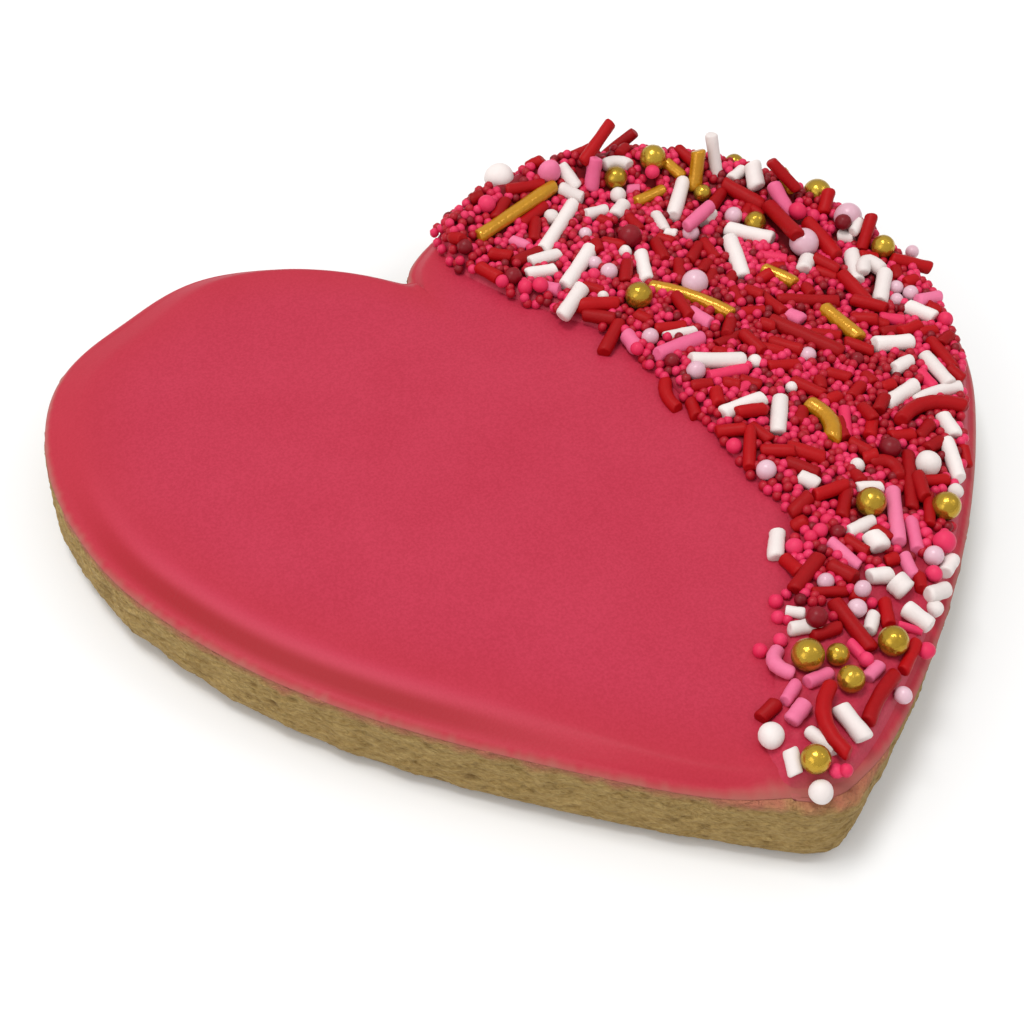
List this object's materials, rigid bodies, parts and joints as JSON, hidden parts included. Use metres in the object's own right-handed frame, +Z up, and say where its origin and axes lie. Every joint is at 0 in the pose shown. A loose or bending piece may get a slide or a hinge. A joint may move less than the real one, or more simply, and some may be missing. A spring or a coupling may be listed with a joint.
{
  "type": "iced sugar cookie",
  "caption": "Heart-shaped sugar cookie with a smooth coral-pink icing top and a crescent of mixed sprinkles along one side.",
  "frame": {"origin": "middle of the outer box, on the surface the cookie lies on", "axes": "+Z up through the icing, -Y towards the tip of the heart, +X towards the lobe with the sprinkles"},
  "size_m": [0.0955, 0.0855, 0.017],
  "materials": {
    "baked_dough": "matte baked biscuit",
    "coral_icing": "satin set icing"
  },
  "bodies": {
    "root": {"cookie": "baked_dough", "icing": "coral_icing"}
  },
  "joints": []
}
